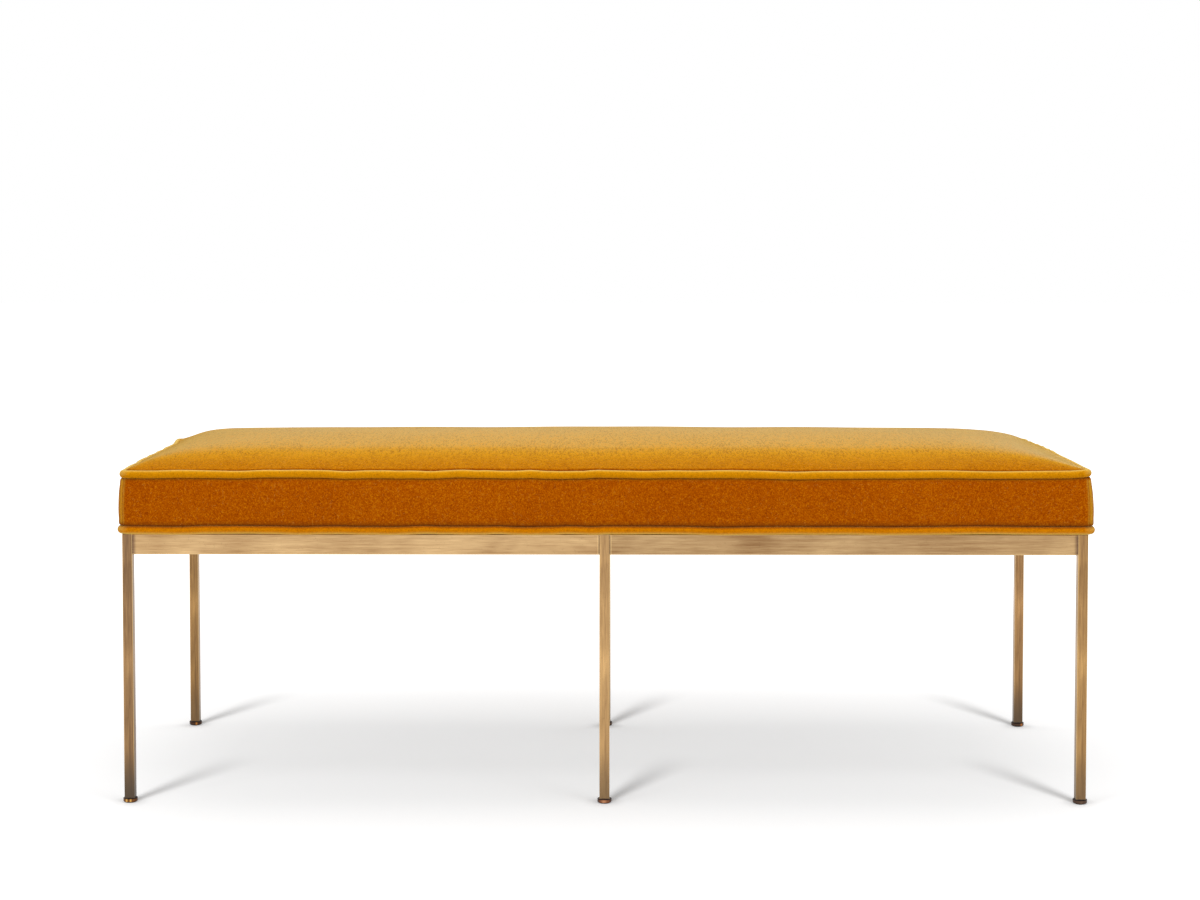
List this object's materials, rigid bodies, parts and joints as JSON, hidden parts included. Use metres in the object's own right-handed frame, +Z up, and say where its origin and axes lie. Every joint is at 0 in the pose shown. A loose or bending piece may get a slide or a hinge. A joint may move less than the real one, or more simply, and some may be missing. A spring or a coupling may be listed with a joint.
{
  "type": "upholstered bench",
  "caption": "Long low bench: a welted box cushion on a slim square-tube frame, with legs at the corners and middle, each on a screw-down levelling foot.",
  "frame": {"origin": "on the floor, under the middle of the bench", "axes": "+X along the bench to the right as seen from the front, +Y from front to rear, +Z up"},
  "size_m": [1.229, 0.4556, 0.4498],
  "materials": {
    "frame_brass": "antiqued, satin, with darker patina in streaks and by the joints",
    "foot_brass": "dark patina, rubbed bright in places",
    "stud_steel": "bright zinc",
    "fixing_steel": "bright zinc",
    "plug_nylon": "black, matte",
    "pad_nylon": "grey, matte",
    "seat_velvet": "golden orange mohair velvet",
    "batting": "white polyester batting",
    "foam": "cream upholstery foam",
    "deck_plywood": "birch plywood, plain",
    "dust_cloth": "black non-woven cloth"
  },
  "bodies": {
    "bench": {"leg_front_left": "frame_brass", "leg_front_middle": "frame_brass", "leg_front_right": "frame_brass", "leg_rear_left": "frame_brass", "leg_rear_middle": "frame_brass", "leg_rear_right": "frame_brass", "rail_front_left": "frame_brass", "rail_front_right": "frame_brass", "rail_rear_left": "frame_brass", "rail_rear_right": "frame_brass", "rail_end_left": "frame_brass", "rail_end_right": "frame_brass", "rail_cross_middle": "frame_brass", "seat_tabs": "frame_brass", "seat_screws": "fixing_steel", "cover_staples": "fixing_steel", "leg_plug_front_left": "plug_nylon", "leg_plug_front_middle": "plug_nylon", "leg_plug_front_right": "plug_nylon", "leg_plug_rear_left": "plug_nylon", "leg_plug_rear_middle": "plug_nylon", "leg_plug_rear_right": "plug_nylon", "cover_top_panel": "seat_velvet", "boxing_front": "seat_velvet", "boxing_rear": "seat_velvet", "boxing_left": "seat_velvet", "boxing_right": "seat_velvet", "welt_top": "seat_velvet", "welt_bottom": "seat_velvet", "cover_underturn": "seat_velvet", "batting_wrap": "batting", "foam_core": "foam", "seat_deck": "deck_plywood", "dust_cover": "dust_cloth"},
    "stud_front_left": {"foot_stud_front_left": "stud_steel"},
    "foot_front_left": {"foot_disc_front_left": "foot_brass", "foot_pad_front_left": "pad_nylon"},
    "stud_front_middle": {"foot_stud_front_middle": "stud_steel"},
    "foot_front_middle": {"foot_disc_front_middle": "foot_brass", "foot_pad_front_middle": "pad_nylon"},
    "stud_front_right": {"foot_stud_front_right": "stud_steel"},
    "foot_front_right": {"foot_disc_front_right": "foot_brass", "foot_pad_front_right": "pad_nylon"},
    "stud_rear_left": {"foot_stud_rear_left": "stud_steel"},
    "foot_rear_left": {"foot_disc_rear_left": "foot_brass", "foot_pad_rear_left": "pad_nylon"},
    "stud_rear_middle": {"foot_stud_rear_middle": "stud_steel"},
    "foot_rear_middle": {"foot_disc_rear_middle": "foot_brass", "foot_pad_rear_middle": "pad_nylon"},
    "stud_rear_right": {"foot_stud_rear_right": "stud_steel"},
    "foot_rear_right": {"foot_disc_rear_right": "foot_brass", "foot_pad_rear_right": "pad_nylon"}
  },
  "joints": [
    {"name": "screw_travel_front_left", "type": "slide", "parent": "bench", "child": "stud_front_left", "axis": [0, 0, -1], "range_m": [0, 0.0127]},
    {"name": "disc_turn_front_left", "type": "hinge", "parent": "stud_front_left", "child": "foot_front_left", "pos_m": [-0.59915, -0.21715, 0.003], "axis": [0, 0, -1], "range_deg": [0, 3600]},
    {"name": "screw_travel_front_middle", "type": "slide", "parent": "bench", "child": "stud_front_middle", "axis": [0, 0, -1], "range_m": [0, 0.0127]},
    {"name": "disc_turn_front_middle", "type": "hinge", "parent": "stud_front_middle", "child": "foot_front_middle", "pos_m": [0, -0.21715, 0.003], "axis": [0, 0, -1], "range_deg": [0, 3600]},
    {"name": "screw_travel_front_right", "type": "slide", "parent": "bench", "child": "stud_front_right", "axis": [0, 0, -1], "range_m": [0, 0.0127]},
    {"name": "disc_turn_front_right", "type": "hinge", "parent": "stud_front_right", "child": "foot_front_right", "pos_m": [0.59915, -0.21715, 0.003], "axis": [0, 0, -1], "range_deg": [0, 3600]},
    {"name": "screw_travel_rear_left", "type": "slide", "parent": "bench", "child": "stud_rear_left", "axis": [0, 0, -1], "range_m": [0, 0.0127]},
    {"name": "disc_turn_rear_left", "type": "hinge", "parent": "stud_rear_left", "child": "foot_rear_left", "pos_m": [-0.59915, 0.21715, 0.003], "axis": [0, 0, -1], "range_deg": [0, 3600]},
    {"name": "screw_travel_rear_middle", "type": "slide", "parent": "bench", "child": "stud_rear_middle", "axis": [0, 0, -1], "range_m": [0, 0.0127]},
    {"name": "disc_turn_rear_middle", "type": "hinge", "parent": "stud_rear_middle", "child": "foot_rear_middle", "pos_m": [0, 0.21715, 0.003], "axis": [0, 0, -1], "range_deg": [0, 3600]},
    {"name": "screw_travel_rear_right", "type": "slide", "parent": "bench", "child": "stud_rear_right", "axis": [0, 0, -1], "range_m": [0, 0.0127]},
    {"name": "disc_turn_rear_right", "type": "hinge", "parent": "stud_rear_right", "child": "foot_rear_right", "pos_m": [0.59915, 0.21715, 0.003], "axis": [0, 0, -1], "range_deg": [0, 3600]}
  ],
  "couplings": [
    {"joint": "screw_travel_front_left", "follows": "disc_turn_front_left", "m_per_rad": 0.00020213},
    {"joint": "screw_travel_front_middle", "follows": "disc_turn_front_middle", "m_per_rad": 0.00020213},
    {"joint": "screw_travel_front_right", "follows": "disc_turn_front_right", "m_per_rad": 0.00020213},
    {"joint": "screw_travel_rear_left", "follows": "disc_turn_rear_left", "m_per_rad": 0.00020213},
    {"joint": "screw_travel_rear_middle", "follows": "disc_turn_rear_middle", "m_per_rad": 0.00020213},
    {"joint": "screw_travel_rear_right", "follows": "disc_turn_rear_right", "m_per_rad": 0.00020213}
  ]
}
